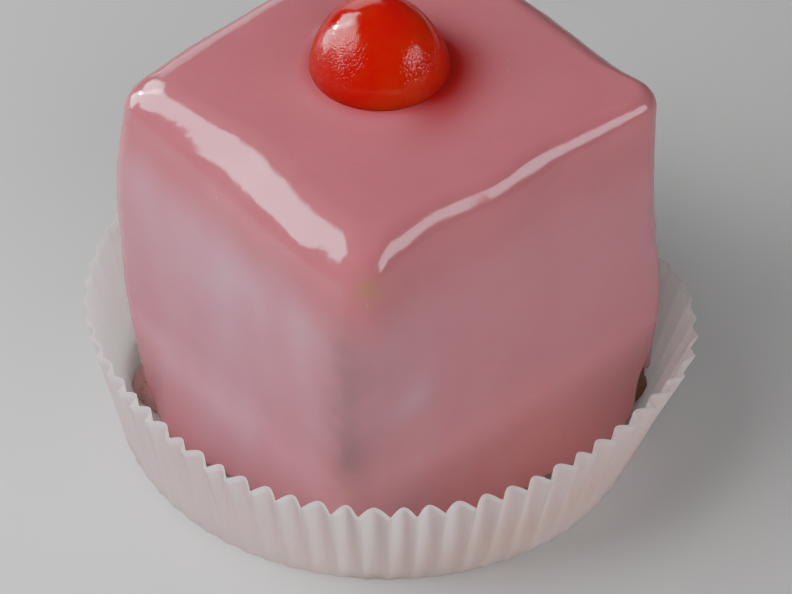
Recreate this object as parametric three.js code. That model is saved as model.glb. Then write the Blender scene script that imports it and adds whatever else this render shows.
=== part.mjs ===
// A punch cake square: a soaked sponge block under a poured icing coat, topped with half a
// glazed cherry and standing in a pleated paper case.
// Millimetres, +Z up. The block's faces look along X and Y, and it stands on the table at z = 0.

import * as THREE from "three";

// Block and coat
const CAKE_X = 49.5; // over the icing
const CAKE_Y = 52.3; // over the icing
const CAKE_TOP = 52.3; // top of the icing above the table
const ICING = 1.6; // thickness of the coat
const EDGE_R = 4.0; // rounding of the coat's top edges
const UPRIGHT_R = 4.5; // rounding of the coat's upright edges
const SPONGE_FOOT_R = 0.25; // rounding of the sponge's bottom edge
const HEM = 1.2; // mean height of the coat's lower edge above the table
const HEM_RAGGED = 0.3; // how far that edge wanders up and down
const HEM_WAVES = [9, 5]; // waves of it in one turn round the block
const POOL = 2.2; // how far the coat has run out at its foot, on the side where it pooled
const POOL_H = 4.5; // height over which the pool fades
const POOL_AT = THREE.MathUtils.degToRad(5);
const POOL_SPREAD = THREE.MathUtils.degToRad(34);
const SWELL = 0.25; // gentle unevenness of the sides
const SWELL_WAVES = [3, 2]; // waves of it in one turn round the block
const SWELL_CLIMB = [7, 11]; // climb of those waves for each radian

// Half a cherry, cut side down
const CHERRY_R = 8.95;
const CHERRY_LIFT = 0.07; // share by which the crown stands above a true half ball
const CHERRY_AT = { x: -3.4, y: 2.0 };
const CHERRY_FLAT = 0.05; // share of the radius lost where the fruit is dented
const CHERRY_DENT = new THREE.Vector3(0.1, 0.85, 0.52).normalize();
const CHERRY_DENT_SPREAD = 0.6; // radians
const CHERRY_LIP = 0.5; // rounding of the cut edge

// Paper case
const PAPER = 0.3; // thickness of the sheet
const BASE_R = 35.0; // middle of the wall at the table
const RIM_R = 38.6; // middle of the wall at the rim
const RIM_H = 17.4;
const PLEATS = 70;
const PLEAT_DEPTH_BASE = 0.7;
const PLEAT_DEPTH_RIM = 2.0;
const RIM_LOBE = 0.6; // the rim stands out beside the block's four corners
const RIM_LEAN = 1.4; // the rim leans out to one side
const RIM_LEAN_TO = THREE.MathUtils.degToRad(-25);
const RIM_DENT = 6.5; // the rim is pressed in towards one face of the block
const RIM_DENT_AT = THREE.MathUtils.degToRad(76);
const RIM_DENT_SPREAD = THREE.MathUtils.degToRad(20);
const RIM_FLARE = 1.0; // and splayed out beside the dent
const RIM_FLARE_AT = THREE.MathUtils.degToRad(30);
const RIM_FLARE_SPREAD = THREE.MathUtils.degToRad(11);

// Air left between pieces that lie against each other
const FIT = 0.3;

// Facets
const ARC_STEPS = 7; // round each upright edge
const FACE_STEPS = 9; // along each face of the block
const SIDE_STEPS = 8; // up each face
const SIDE_CROWDING = 1.5; // power that crowds those steps towards the hem
const EDGE_STEPS = 4; // over each top edge
const TOP_RING = 0.5; // share of the top's width at which its inner ring lies
const CHERRY_SIDES = 36;
const CHERRY_RINGS = 9;
const LIP_STEPS = 3;
const PLEAT_STEPS = 4; // points in one pleat

const SPONGE_X = CAKE_X / 2 - ICING;
const SPONGE_Y = CAKE_Y / 2 - ICING;
const SPONGE_TOP = CAKE_TOP - ICING;
const UPRIGHT_AT = Math.atan2(SPONGE_Y, SPONGE_X);

// The four upright edges. Each is drawn in by shoulder at the top and by pinch towards the table,
// and swells by bulge just above the paper; foot is how far it spreads at its very bottom.
// Tear is how far the hem is pulled up there, over a width of spread radians.
const UPRIGHTS = [
  { at: UPRIGHT_AT, shoulder: 0.2, bulge: 1.5, pinch: 0.8, foot: -0.4, tear: 6.8, spread: 0.11 },
  { at: Math.PI - UPRIGHT_AT, shoulder: 0.5, bulge: 0.4, pinch: 1.5, foot: -0.5, tear: 2.2, spread: 0.12 },
  { at: UPRIGHT_AT - Math.PI, shoulder: 0.7, bulge: 0.35, pinch: 3.0, foot: 1.1, tear: 6.0, spread: 0.17 },
  { at: -UPRIGHT_AT, shoulder: 0.4, bulge: 0.3, pinch: 1.5, foot: -0.6, tear: 0.5, spread: 0.12 },
];
const UPRIGHT_SPREAD = 0.26; // radians of turn over which an upright edge's own form fades
const SHOULDER_FROM = 36; // height where the shoulders begin
const PINCH_TOP = 30; // height where the drawing in begins
const PINCH_POWER = 1.5;
const FOOT_TOP = 8; // height where the sponge's foot begins
const BULGE_AT = 17;
const BULGE_SPREAD = 9;
const TEAR_SHIFT = THREE.MathUtils.degToRad(3); // the hem is pulled up a little before each edge

// The faces lean in towards the top round these turns
const LEANS = [
  { at: THREE.MathUtils.degToRad(-112), spread: THREE.MathUtils.degToRad(20), reach: 1.9 },
  { at: THREE.MathUtils.degToRad(-75), spread: THREE.MathUtils.degToRad(14), reach: 0.6 },
  { at: THREE.MathUtils.degToRad(-25), spread: THREE.MathUtils.degToRad(25), reach: 2.6 },
  { at: THREE.MathUtils.degToRad(15), spread: THREE.MathUtils.degToRad(20), reach: 1.4 },
  { at: THREE.MathUtils.degToRad(42), spread: THREE.MathUtils.degToRad(22), reach: 0.4 },
];
const LEAN_FROM = 27; // height where the leaning begins
const LEAN_POWER = 1.5;

const { smoothstep, lerp } = THREE.MathUtils;

// Bell curve of 1 at its middle
const bell = (distance, spread) => Math.exp(-((distance / spread) ** 2));

// Difference of two angles, from -pi to pi
const turnBetween = (a, b) => Math.atan2(Math.sin(a - b), Math.cos(a - b));

// How far the block's side stands out from a plain rounded box, at a turn and a height
function sideForm(turn, z) {
  const [waveA, waveB] = SWELL_WAVES.map((waves) => waves * turn);
  const [climbA, climbB] = SWELL_CLIMB.map((climb) => z / climb);
  let out = SWELL * Math.sin(waveA + climbA) * Math.sin(waveB - climbB);
  for (const edge of UPRIGHTS) {
    const near = bell(turnBetween(turn, edge.at), UPRIGHT_SPREAD);
    const drawn = Math.max(0, 1 - z / PINCH_TOP) ** PINCH_POWER;
    const aboveFoot = smoothstep(z, 0, FOOT_TOP);
    out -= near * edge.shoulder * smoothstep(z, SHOULDER_FROM, CAKE_TOP);
    out += near * edge.bulge * bell(z - BULGE_AT, BULGE_SPREAD);
    out -= near * edge.pinch * drawn * aboveFoot;
    out += near * edge.foot * (1 - aboveFoot);
  }
  const leaning = smoothstep(z, LEAN_FROM, CAKE_TOP) ** LEAN_POWER;
  for (const lean of LEANS) {
    out -= leaning * lean.reach * bell(turnBetween(turn, lean.at), lean.spread);
  }
  return out;
}

// The same for the outside of the coat, which is thicker where it pooled at its foot
function coatForm(turn, z) {
  const pool = POOL * bell(turnBetween(turn, POOL_AT), POOL_SPREAD);
  return sideForm(turn, z) + pool * bell(z, POOL_H);
}

// Height of the coat's lower edge at a turn
function hemAt(turn) {
  const [short, long] = HEM_WAVES.map((waves) => waves * turn);
  let height = HEM + HEM_RAGGED * Math.sin(short) * Math.cos(long);
  for (const edge of UPRIGHTS) {
    height += edge.tear * bell(turnBetween(turn, edge.at - TEAR_SHIFT), edge.spread);
  }
  return height;
}

// A ring round the block, grow outside the sponge's faces, at the height that heightAt gives
function blockRing(grow, heightAt, form = sideForm) {
  const halfX = SPONGE_X + grow;
  const halfY = SPONGE_Y + grow;
  const radius = UPRIGHT_R - ICING + grow;
  const centres = [
    [halfX - radius, halfY - radius],
    [-halfX + radius, halfY - radius],
    [-halfX + radius, -halfY + radius],
    [halfX - radius, -halfY + radius],
  ];
  const ring = [];
  centres.forEach(([x, y], quarter) => {
    const start = (quarter * Math.PI) / 2;
    const nextCentre = centres[(quarter + 1) % centres.length];
    for (let i = 0; i <= ARC_STEPS; i++) {
      const a = start + ((i / ARC_STEPS) * Math.PI) / 2;
      ring.push(new THREE.Vector2(x + radius * Math.cos(a), y + radius * Math.sin(a)));
    }
    const faceStart = ring.at(-1);
    const outward = new THREE.Vector2(-Math.sin(start), Math.cos(start)).multiplyScalar(radius);
    const faceEnd = new THREE.Vector2(...nextCentre).add(outward);
    for (let i = 1; i < FACE_STEPS; i++) {
      ring.push(faceStart.clone().lerp(faceEnd, i / FACE_STEPS));
    }
  });
  return ring.map((p) => {
    const turn = Math.atan2(p.y, p.x);
    const z = heightAt(turn);
    const reach = p.length() + form(turn, z);
    return new THREE.Vector3(reach * Math.cos(turn), reach * Math.sin(turn), z);
  });
}

// Rings from the hem up the sides and over the rounded top edges, grow outside the sponge
function coveringRings(grow, form = sideForm) {
  const edgeR = EDGE_R - ICING + grow;
  const sideTop = SPONGE_TOP + grow - edgeR;
  const rings = [];
  for (let i = 0; i <= SIDE_STEPS; i++) {
    const share = (i / SIDE_STEPS) ** SIDE_CROWDING;
    rings.push(blockRing(grow, (turn) => lerp(hemAt(turn), sideTop, share), form));
  }
  for (let i = 1; i <= EDGE_STEPS; i++) {
    const a = ((i / EDGE_STEPS) * Math.PI) / 2;
    const z = sideTop + edgeR * Math.sin(a);
    rings.push(blockRing(grow - edgeR * (1 - Math.cos(a)), () => z, form));
  }
  const topEdge = rings.at(-1);
  const narrowed = new THREE.Vector3(TOP_RING, TOP_RING, 1);
  rings.push(topEdge.map((p) => p.clone().multiply(narrowed)));
  return rings;
}

// A closed surface through rings of equally many points, from a point inside the first ring to
// a point inside the last. Seen from above the rings turn anticlockwise, and the surface faces
// out where they climb. A strip is split along the same diagonal whether it climbs or comes down,
// so the two faces of a thin wall have the same facets.
function closedSurface(first, rings, last) {
  const count = rings[0].length;
  const points = [first, ...rings.flat(), last];
  const end = points.length - 1;
  const at = (ring, i) => 1 + ring * count + (i % count);
  const index = [];
  for (let i = 0; i < count; i++) {
    index.push(0, at(0, i + 1), at(0, i));
    for (let ring = 0; ring + 1 < rings.length; ring++) {
      const [a, b] = [at(ring, i), at(ring, i + 1)];
      const [c, d] = [at(ring + 1, i + 1), at(ring + 1, i)];
      const climbs = rings[ring + 1][i].z >= rings[ring][i].z;
      index.push(...(climbs ? [a, b, c, a, c, d] : [a, b, d, b, c, d]));
    }
    index.push(end, at(rings.length - 1, i), at(rings.length - 1, i + 1));
  }
  const geometry = new THREE.BufferGeometry().setFromPoints(points);
  geometry.setIndex(index);
  geometry.computeVertexNormals();
  return geometry;
}

const onAxis = (z) => new THREE.Vector3(0, 0, z);

function spongeGeometry() {
  const floor = PAPER + FIT;
  const footTop = floor + SPONGE_FOOT_R;
  const rings = [
    blockRing(-SPONGE_FOOT_R, () => floor),
    blockRing(0, () => footTop),
    blockRing(0, (turn) => lerp(footTop, hemAt(turn), 0.5)),
    ...coveringRings(0),
  ];
  return closedSurface(onAxis(floor), rings, onAxis(SPONGE_TOP));
}

function icingGeometry() {
  const inside = coveringRings(FIT).reverse();
  const outside = coveringRings(ICING, coatForm);
  return closedSurface(onAxis(SPONGE_TOP + FIT), [...inside, ...outside], onAxis(CAKE_TOP));
}

// A point of the cherry's skin at a turn and a tilt above the cut side
function cherryPoint(turn, tilt) {
  const level = Math.cos(tilt);
  const aim = new THREE.Vector3(level * Math.cos(turn), level * Math.sin(turn), Math.sin(tilt));
  const dent = CHERRY_FLAT * bell(aim.angleTo(CHERRY_DENT), CHERRY_DENT_SPREAD);
  const point = aim.multiplyScalar(CHERRY_R * (1 - dent));
  point.z *= 1 + CHERRY_LIFT * Math.sin(tilt);
  return point;
}

// A ring of that skin, drawn in by sink towards the middle
function cherryRing(tilt, sink) {
  const ring = [];
  for (let i = 0; i < CHERRY_SIDES; i++) {
    const p = cherryPoint((i / CHERRY_SIDES) * 2 * Math.PI, tilt);
    const drawnIn = 1 - sink / CHERRY_R;
    ring.push(new THREE.Vector3(p.x * drawnIn, p.y * drawnIn, p.z));
  }
  return ring;
}

function cherryGeometry() {
  const rings = [];
  for (let i = 0; i < LIP_STEPS; i++) {
    const a = ((i / LIP_STEPS) * Math.PI) / 2;
    const tilt = Math.asin((CHERRY_LIP / CHERRY_R) * (1 - Math.cos(a)));
    rings.push(cherryRing(tilt, CHERRY_LIP * (1 - Math.sin(a))));
  }
  const domeFrom = Math.asin(CHERRY_LIP / CHERRY_R);
  for (let i = 0; i < CHERRY_RINGS; i++) {
    rings.push(cherryRing(lerp(domeFrom, Math.PI / 2, i / CHERRY_RINGS), 0));
  }
  return closedSurface(onAxis(0), rings, cherryPoint(0, Math.PI / 2));
}

// Pleats have sharp folds outside and round folds inside: 1 at the outer fold, -1 at the inner
const pleat = (turn) => 1 - 2 * Math.abs(Math.sin((PLEATS * turn) / 2));

function rimRadius(turn) {
  const lobes = RIM_LOBE * Math.cos(4 * (turn - Math.PI / 4));
  const lean = RIM_LEAN * Math.cos(turn - RIM_LEAN_TO);
  const dent = RIM_DENT * bell(turnBetween(turn, RIM_DENT_AT), RIM_DENT_SPREAD);
  const flare = RIM_FLARE * bell(turnBetween(turn, RIM_FLARE_AT), RIM_FLARE_SPREAD);
  return RIM_R + lobes + lean - dent + flare;
}

// A ring of the paper wall at a share of its height, on its outer (1) or inner (-1) face
function paperRing(share, face) {
  const count = PLEATS * PLEAT_STEPS;
  const depth = lerp(PLEAT_DEPTH_BASE, PLEAT_DEPTH_RIM, share);
  const ring = [];
  for (let i = 0; i < count; i++) {
    const turn = (i / count) * 2 * Math.PI;
    const middle = lerp(BASE_R, rimRadius(turn), share);
    const reach = middle + (depth / 2) * pleat(turn) + (face * PAPER) / 2;
    ring.push(new THREE.Vector3(reach * Math.cos(turn), reach * Math.sin(turn), share * RIM_H));
  }
  return ring;
}

function paperGeometry() {
  const floorShare = PAPER / RIM_H;
  const outside = [paperRing(0, 1), paperRing(1, 1)];
  const inside = [paperRing(1, -1), paperRing(floorShare, -1)];
  return closedSurface(onAxis(0), [...outside, ...inside], onAxis(PAPER));
}

function piece(name, geometry, color, roughness) {
  const material = new THREE.MeshStandardMaterial({ color, roughness, metalness: 0 });
  const mesh = new THREE.Mesh(geometry, material);
  mesh.name = name;
  return mesh;
}

const cherry = piece("cherry", cherryGeometry(), "#b81704", 0.12);
cherry.position.set(CHERRY_AT.x, CHERRY_AT.y, CAKE_TOP + FIT);

const cake = new THREE.Group();
cake.add(
  piece("sponge", spongeGeometry(), "#8a5a48", 0.9),
  piece("icing", icingGeometry(), "#c98f98", 0.15),
  cherry,
  piece("paper_case", paperGeometry(), "#ddd3cd", 0.7),
);

// The origin is under the middle of the whole
const middle = new THREE.Box3().setFromObject(cake).getCenter(new THREE.Vector3());
cake.position.set(-middle.x, -middle.y, 0);

const part = new THREE.Group();
part.add(cake);

export default part;
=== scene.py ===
# %% [markdown]
# # A punch cake square
# The real object is a small cake: a block of soaked sponge under a coat of poured pink icing, with
# half a glazed cherry on top and a pleated paper case round its foot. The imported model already
# gives every piece its size and place. This lesson dresses it: each plain solid is replaced by a
# finer mesh that follows the solid's formulas, and every mesh gets a finish of its own.

# %% Load the fixed frame
import math

import bpy
import numpy as np
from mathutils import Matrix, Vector
from mathutils import noise as lattice


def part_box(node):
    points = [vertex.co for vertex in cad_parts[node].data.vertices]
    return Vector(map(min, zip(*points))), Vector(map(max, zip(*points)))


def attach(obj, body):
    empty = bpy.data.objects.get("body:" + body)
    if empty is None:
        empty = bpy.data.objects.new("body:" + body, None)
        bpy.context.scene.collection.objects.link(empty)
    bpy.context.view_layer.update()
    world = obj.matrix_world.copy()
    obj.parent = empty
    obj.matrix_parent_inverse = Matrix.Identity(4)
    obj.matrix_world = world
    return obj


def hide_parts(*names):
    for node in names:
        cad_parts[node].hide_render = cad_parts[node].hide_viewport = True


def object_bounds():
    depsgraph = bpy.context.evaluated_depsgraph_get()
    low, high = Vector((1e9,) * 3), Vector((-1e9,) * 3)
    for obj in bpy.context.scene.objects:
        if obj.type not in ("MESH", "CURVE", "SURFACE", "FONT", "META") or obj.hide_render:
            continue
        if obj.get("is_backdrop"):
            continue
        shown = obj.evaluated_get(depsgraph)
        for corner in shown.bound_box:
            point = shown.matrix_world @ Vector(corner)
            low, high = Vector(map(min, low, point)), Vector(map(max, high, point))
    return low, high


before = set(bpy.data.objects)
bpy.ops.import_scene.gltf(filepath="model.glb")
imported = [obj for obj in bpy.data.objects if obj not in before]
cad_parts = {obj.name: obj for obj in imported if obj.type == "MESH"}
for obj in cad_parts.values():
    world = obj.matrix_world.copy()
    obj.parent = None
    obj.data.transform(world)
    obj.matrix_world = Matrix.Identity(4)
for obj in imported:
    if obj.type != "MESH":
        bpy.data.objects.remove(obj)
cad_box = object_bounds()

print("packed pieces:", ", ".join(sorted(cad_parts)))

# %% [markdown]
# ## Where the block stands
# The paper case leans out to one side, so the middle of the whole part isn't the middle of the
# cake. It could be typed in as a number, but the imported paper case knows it: its lowest points form
# a circle round the cake's own axis, and the middle of their box is that axis.

# %% Find the cake's own axis
MM = 0.001

paper_low, paper_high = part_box("paper_case")
icing_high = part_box("icing")[1]
cherry_low, cherry_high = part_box("cherry")

paper_points = np.array([vertex.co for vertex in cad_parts["paper_case"].data.vertices])
foot_points = paper_points[paper_points[:, 2] < paper_low.z + 0.05 * MM]
foot_middle = (foot_points.min(axis=0) + foot_points.max(axis=0)) / 2
AXIS = np.array([foot_middle[0], foot_middle[1], 0.0])
print("cake axis in mm:", np.round(AXIS / MM, 2))

# %% [markdown]
# ## The view
# The photograph was taken with a long lens from in front of one upright edge, looking down by a bit
# less than half a right angle. A long lens keeps the cube's edges almost parallel. The camera
# could be placed by hand, but set up from two angles and a distance it stays easy to correct.

# %% Camera
VIEW_TURN = math.radians(48.44)
VIEW_TILT = math.radians(43.3)
VIEW_DISTANCE = 0.8
VIEW_LENS = 281.8
AIM_HEIGHT = 16.1 * MM
AIM_ASIDE = 1.2 * MM

view_right = np.array([math.cos(VIEW_TURN), math.sin(VIEW_TURN), 0.0])
view_away = np.array([-math.sin(VIEW_TURN), math.cos(VIEW_TURN), 0.0])
view_up = np.array([0.0, 0.0, 1.0])

aim = AXIS + AIM_ASIDE * view_right + AIM_HEIGHT * view_up
toward_camera = math.sin(VIEW_TILT) * view_up - math.cos(VIEW_TILT) * view_away

camera_data = bpy.data.cameras.new("view")
camera_data.lens = VIEW_LENS
camera_data.clip_start = 0.01
camera = bpy.data.objects.new("view", camera_data)
camera.location = Vector(aim + VIEW_DISTANCE * toward_camera)
camera.rotation_euler = Vector(-toward_camera).to_track_quat("-Z", "Y").to_euler()
bpy.context.collection.objects.link(camera)
bpy.context.scene.camera = camera
print("camera at", np.round(np.array(camera.location), 3))

# %% [markdown]
# ## The light
# The bands on the icing mirror a few bright windows, while the shading is soft and comes from the
# left and the front. One set of lamps could give both only by chance, so a lamp here has one
# strength for the gloss and another for the matt shading, and most have only one of the two.
# Directions are easiest to read off as the camera sees them, so they are written as shares to the
# right, away from the camera, and up. The room is darker on the camera's side, which keeps the
# faces turned to it from going milky.

# %% Soft boxes and a dim room
def soft_box(name, right, away, up, distance, width, height, gloss=0.0, matt=0.0):
    """A rectangular lamp that looks at the cake, with a strength for gloss and one for matt surfaces."""
    toward = right * view_right + away * view_away + up * view_up
    toward = toward / np.linalg.norm(toward)
    for part, glow in (("gloss", gloss), ("matt", matt)):
        if glow == 0:
            continue
        lamp = bpy.data.lights.new(name + "_" + part, "AREA")
        lamp.shape = "RECTANGLE"
        lamp.size = width
        lamp.size_y = height
        lamp.energy = 4 * glow * width * height
        holder = bpy.data.objects.new(lamp.name, lamp)
        holder.location = Vector(aim + distance * toward)
        holder.rotation_euler = Vector(-toward).to_track_quat("-Z", "Y").to_euler()
        holder.visible_camera = False
        holder.visible_glossy = part == "gloss"
        holder.visible_diffuse = part == "matt"
        holder.visible_transmission = part == "matt"
        bpy.context.collection.objects.link(holder)


soft_box("left", right=-0.79, away=0.14, up=0.59, distance=0.45, width=0.38, height=0.33, gloss=4.5)
soft_box(
    "right", right=0.86, away=-0.33, up=0.38, distance=0.55, width=0.34, height=0.22,
    gloss=3.6, matt=0.7,
)
soft_box("back", right=-0.61, away=0.57, up=0.55, distance=0.50, width=0.20, height=0.24, gloss=4.8)
soft_box("low", right=-0.88, away=0.47, up=0.12, distance=0.50, width=0.21, height=0.14, gloss=4.8)
soft_box("behind", right=-0.22, away=0.93, up=0.29, distance=0.70, width=0.34, height=0.40, gloss=1.2)
soft_box("spark", right=-0.78, away=0.55, up=0.31, distance=0.60, width=0.04, height=0.04, gloss=75.0)
soft_box("key", right=-0.66, away=-0.13, up=0.74, distance=0.32, width=0.30, height=0.30, matt=2.20)
soft_box("sweep", right=-0.40, away=0.80, up=0.45, distance=0.60, width=0.50, height=0.40, matt=0.60)
soft_box("front", right=0.40, away=-0.77, up=0.50, distance=0.80, width=1.00, height=0.70, matt=1.20)

room = bpy.data.worlds.new("room")
room.use_nodes = True
room_nodes = room.node_tree.nodes
room_links = room.node_tree.links
direction = room_nodes.new("ShaderNodeTexCoord")
depth = room_nodes.new("ShaderNodeVectorMath")
depth.operation = "DOT_PRODUCT"
depth.inputs[1].default_value = Vector(view_away)
shade = room_nodes.new("ShaderNodeMapRange")
shade.interpolation_type = "SMOOTHSTEP"
shade.inputs["From Min"].default_value = -0.8
shade.inputs["From Max"].default_value = -0.1
shade.inputs["To Min"].default_value = 0.05
shade.inputs["To Max"].default_value = 0.45
room_links.new(direction.outputs["Generated"], depth.inputs[0])
room_links.new(depth.outputs["Value"], shade.inputs["Value"])
room_links.new(shade.outputs["Result"], room_nodes["Background"].inputs["Strength"])
bpy.context.scene.world = room

# %% [markdown]
# ## The film
# A photograph holds back its brightest tones, so the bands of light on the icing stay pale pink and
# don't burn out. The renderer's own transforms would also pull the reds about, so the plain one is
# used, with a curve that is straight up to the middle tones and leans over above them.

# %% Tone curve
view = bpy.context.scene.view_settings
view.view_transform = "Standard"
view.use_curve_mapping = True
film = view.curve_mapping
film.extend = "EXTRAPOLATED"
film_curve = film.curves[3]
film_curve.points[-1].location = (1.0, 0.72)
for shown_from, shown_as in ((0.20, 0.20), (0.45, 0.45), (0.65, 0.56)):
    film_curve.points.new(shown_from, shown_as)
film.update()

# %% [markdown]
# ## Shaping helpers
# Every piece here is a stack of rings round an upright axis: the block, the cherry and the pleated
# wall. Such a shape could be sculpted, but a formula for each ring keeps the dressed piece where
# its solid is. Three small curves are enough to say where a form swells, fades or wavers.

# %% Bells, ramps and turns
def bell(distance, spread):
    """A smooth bump: 1 in its middle and near 0 beyond twice its spread."""
    return np.exp(-((distance / spread) ** 2))


def ramp(value, low, high):
    """A smooth rise from 0 at low to 1 at high."""
    share = np.clip((value - low) / (high - low), 0.0, 1.0)
    return share * share * (3 - 2 * share)


def turn_between(turn, other):
    """The angle from other to turn, between -pi and pi."""
    return (turn - other + math.pi) % (2 * math.pi) - math.pi


def waves(points, size, shift=0.0):
    """Smooth chance unevenness from -1 to 1, with bumps about size across."""
    return np.array([lattice.noise(Vector(point / size + shift)) for point in points])


# %% A closed mesh from rings
def add_object(name, mesh):
    made = bpy.data.objects.new(name, mesh)
    bpy.context.collection.objects.link(made)
    return made


def closed_mesh(name, rings, first, last):
    """A closed skin from the point first, through rings (rows, columns, 3), to the point last."""
    rows, columns = rings.shape[:2]
    points = np.vstack([[first], rings.reshape(-1, 3), [last]])
    end = len(points) - 1
    index = 1 + np.arange(rows * columns).reshape(rows, columns)
    nxt = np.roll(index, -1, axis=1)
    quads = np.stack([index[:-1], nxt[:-1], nxt[1:], index[1:]], axis=-1).reshape(-1, 4)
    faces = [(0, b, a) for a, b in zip(index[0].tolist(), nxt[0].tolist())]
    faces += quads.tolist()
    faces += [(end, a, b) for a, b in zip(index[-1].tolist(), nxt[-1].tolist())]
    mesh = bpy.data.meshes.new(name)
    mesh.from_pydata(points.tolist(), [], faces)
    mesh.shade_smooth()
    print(name, "has", len(faces), "faces")
    return mesh


def mesh_points(mesh):
    flat = np.empty(len(mesh.vertices) * 3)
    mesh.vertices.foreach_get("co", flat)
    return flat.reshape(-1, 3)


def mesh_normals(mesh):
    flat = np.empty(len(mesh.vertices) * 3)
    mesh.vertex_normals.foreach_get("vector", flat)
    return flat.reshape(-1, 3)


def move_points(mesh, points):
    mesh.vertices.foreach_set("co", points.ravel())
    mesh.update()


def paint(mesh, name, values):
    """Keep one number for each point, for a finish to read."""
    layer = mesh.attributes.new(name, "FLOAT", "POINT")
    layer.data.foreach_set("value", np.asarray(values, dtype=float))


# %% [markdown]
# ## The block's form
# The cake is a cube with rounded upright edges, but no two of them are alike: one is
# pinched in above its foot, one swells just above the paper, and the upper sides lean in. The
# solid has this form already. The mesh repeats its formulas, with the feet, tears and leans fitted
# a little closer to the photograph. A turn is an angle round the axis, so every size below fades
# over a spread of turn.

# %% Sizes of the block
CAKE_X = 49.5 * MM
CAKE_Y = 52.3 * MM
CAKE_TOP = icing_high.z
ICING = 1.6 * MM
UPRIGHT_R = 4.5 * MM
SWELL = 0.25 * MM
UPRIGHT_AT = math.atan2(CAKE_Y / 2 - ICING, CAKE_X / 2 - ICING)
UPRIGHT_SPREAD = 0.26
SHOULDER_FROM = 36 * MM
PINCH_TOP = 30 * MM
FOOT_TOP = 8 * MM
BULGE_AT = 17 * MM
BULGE_SPREAD = 9 * MM

right_edge = dict(
    at=UPRIGHT_AT, shoulder=0.2, bulge=1.2, pinch=0.3, foot=0.3,
    tear=8.0, spread=0.085, shift=-2.6, thin=0.15,
)
back_edge = dict(
    at=math.pi - UPRIGHT_AT, shoulder=0.5, bulge=0.4, pinch=1.5, foot=-0.5,
    tear=2.2, spread=0.12, shift=-3, thin=0.15,
)
left_edge = dict(
    at=UPRIGHT_AT - math.pi, shoulder=0.7, bulge=0.35, pinch=3.0, foot=0.0,
    tear=8.0, spread=0.12, shift=-4, thin=0.1,
)
# The front edge's large thin share is partly painted shade.
front_edge = dict(
    at=-UPRIGHT_AT, shoulder=0.4, bulge=0.3, pinch=1.5, foot=-0.6,
    tear=0.5, spread=0.12, shift=-3, thin=0.85,
)
UPRIGHT_EDGES = [right_edge, back_edge, left_edge, front_edge]

LEAN_FROM = 27 * MM
DRAWN_POWER = 1.5
leans = [
    dict(at=math.radians(-112), spread=math.radians(20), reach=1.9 * MM),
    dict(at=math.radians(-64), spread=math.radians(12), reach=-0.4 * MM),
    dict(at=math.radians(-25), spread=math.radians(25), reach=2.6 * MM),
    dict(at=math.radians(20), spread=math.radians(17), reach=1.7 * MM),
]


def summed(swells, turn):
    """What several swellings, each round its own turn, come to at a turn."""
    return sum(swell["reach"] * bell(turn_between(turn, swell["at"]), swell["spread"]) for swell in swells)


def side_form(turn, z):
    """How far the block's side stands out from a plain rounded box."""
    out = SWELL * np.sin(3 * turn + z / (7 * MM)) * np.sin(2 * turn - z / (11 * MM))
    drawn = np.clip(1 - z / PINCH_TOP, 0, None) ** DRAWN_POWER
    above_foot = ramp(z, 0, FOOT_TOP)
    for edge in UPRIGHT_EDGES:
        near = MM * bell(turn_between(turn, edge["at"]), UPRIGHT_SPREAD)
        out = out - near * edge["shoulder"] * ramp(z, SHOULDER_FROM, CAKE_TOP)
        out = out + near * edge["bulge"] * bell(z - BULGE_AT, BULGE_SPREAD)
        out = out - near * edge["pinch"] * drawn * above_foot
        out = out + near * edge["foot"] * (1 - above_foot)
    return out - summed(leans, turn) * ramp(z, LEAN_FROM, CAKE_TOP) ** DRAWN_POWER


# %% The hem and the plan
HEM = 1.2 * MM
HEM_RAGGED = 0.3 * MM
ARC_STEPS = 18
FACE_STEPS = 58


def hem_height(turn):
    """Height of the coat's lower edge, which is torn up at some of the upright edges."""
    height = HEM + HEM_RAGGED * np.sin(9 * turn) * np.cos(5 * turn)
    for edge in UPRIGHT_EDGES:
        torn_at = edge["at"] + math.radians(edge["shift"])
        height = height + MM * edge["tear"] * bell(turn_between(turn, torn_at), edge["spread"])
    return height


def block_plan(grow):
    """Turn and reach of points round the block's rounded outline, grow outside the sponge."""
    half = np.array([CAKE_X / 2 - ICING + grow, CAKE_Y / 2 - ICING + grow])
    radius = UPRIGHT_R - ICING + grow
    corner = half - radius
    signs = [(1, 1), (-1, 1), (-1, -1), (1, -1)]
    outline = []
    for quarter, sign in enumerate(signs):
        angles = (quarter + np.linspace(0, 1, ARC_STEPS + 1)) * math.pi / 2
        arc = corner * sign + radius * np.stack([np.cos(angles), np.sin(angles)], axis=1)
        next_corner = corner * signs[(quarter + 1) % 4]
        face_end = next_corner + radius * np.array([np.cos(angles[-1]), np.sin(angles[-1])])
        shares = np.linspace(0, 1, FACE_STEPS + 1)[1:-1, None]
        outline += [arc, arc[-1] + shares * (face_end - arc[-1])]
    outline = np.vstack(outline)
    return np.arctan2(outline[:, 1], outline[:, 0]), np.hypot(outline[:, 0], outline[:, 1])


def from_axis(turn, reach, z):
    """Points at a turn, a reach from the cake's axis and a height."""
    turn, reach, z = np.broadcast_arrays(turn, reach, z)
    return AXIS + np.stack([reach * np.cos(turn), reach * np.sin(turn), z], axis=-1)


print("points round the block:", len(block_plan(ICING)[0]))

# %% [markdown]
# ## The icing coat
# Real punch icing is poured warm and sets as it runs: the top is level, the top edges are round
# where it was thick, the sides carry soft upright runs, and the hem ends in a rounded lip. One
# closed mesh makes it, with an inside that hugs the sponge. The unevenness is pushed into the mesh
# and not left to bump alone, since the wavy ends of the reflections come from the true form.

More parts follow.
